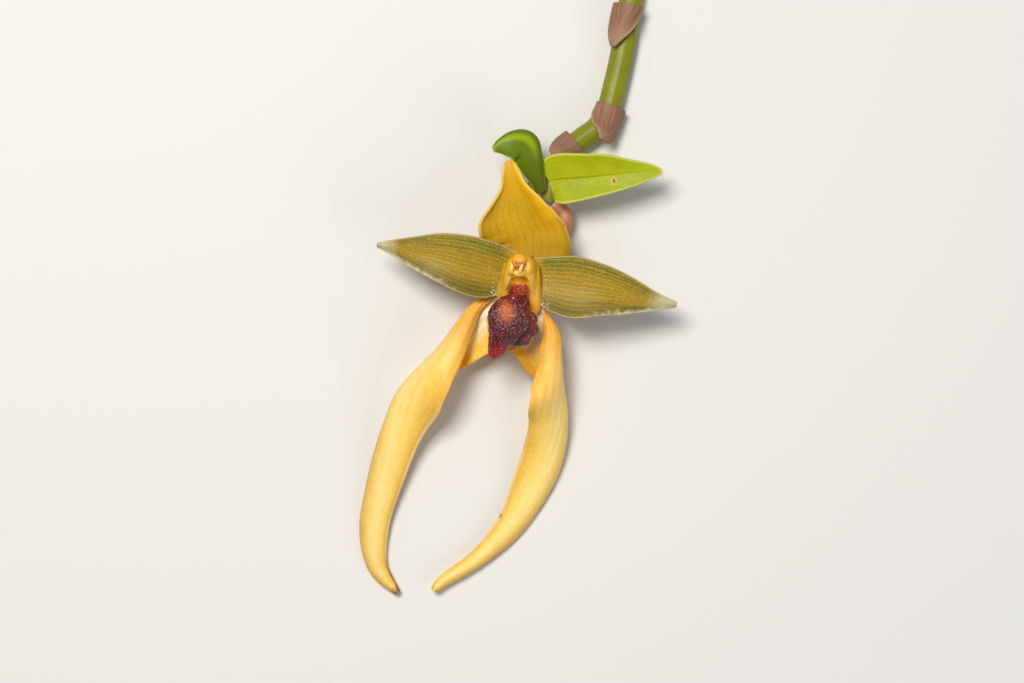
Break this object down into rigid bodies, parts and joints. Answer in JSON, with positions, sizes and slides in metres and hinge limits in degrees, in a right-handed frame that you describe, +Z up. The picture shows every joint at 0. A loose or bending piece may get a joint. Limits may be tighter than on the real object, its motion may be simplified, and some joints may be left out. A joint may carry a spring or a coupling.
{
  "type": "orchid flower",
  "caption": "Picked orchid flower lying face up on its cut stem: hooded sepal, spread petals, long twisted lateral sepals, warty maroon lip, column, bracts and stem sheaths.",
  "frame": {"origin": "on the surface that the flower lies on, under the middle of its bounding box", "axes": "+Z up out of the flower's face, +Y towards the cut end of the stem, +X towards the petal on the right as seen from above"},
  "size_m": [0.0594, 0.1145, 0.019],
  "materials": {
    "hood_golden": "waxy satin petal",
    "petal_olive": "waxy satin petal with veins",
    "sepal_yellow": "waxy satin petal",
    "column_amber": "waxy and slightly glossy",
    "anther_orange": "waxy satin",
    "pollen_wax": "wax",
    "lip_maroon": "warty, with pale fine hairs",
    "stem_green": "smooth green stem",
    "ovary_salmon": "smooth, with faint grooves",
    "bract_green": "smooth leaf",
    "sheath_dry": "dry papery bract"
  },
  "bodies": {
    "root": {"dorsal_sepal": "hood_golden", "left_petal": "petal_olive", "right_petal": "petal_olive", "left_lateral_sepal": "sepal_yellow", "right_lateral_sepal": "sepal_yellow", "column": "column_amber", "anther_cap": "anther_orange", "pollinia": "pollen_wax", "lip": "lip_maroon", "stem": "stem_green", "ovary_and_pedicel": "ovary_salmon", "end_bud": "bract_green", "right_bract": "bract_green", "left_bract": "bract_green", "outer_sheath": "sheath_dry", "middle_sheath": "sheath_dry", "inner_sheath": "sheath_dry"}
  },
  "joints": []
}
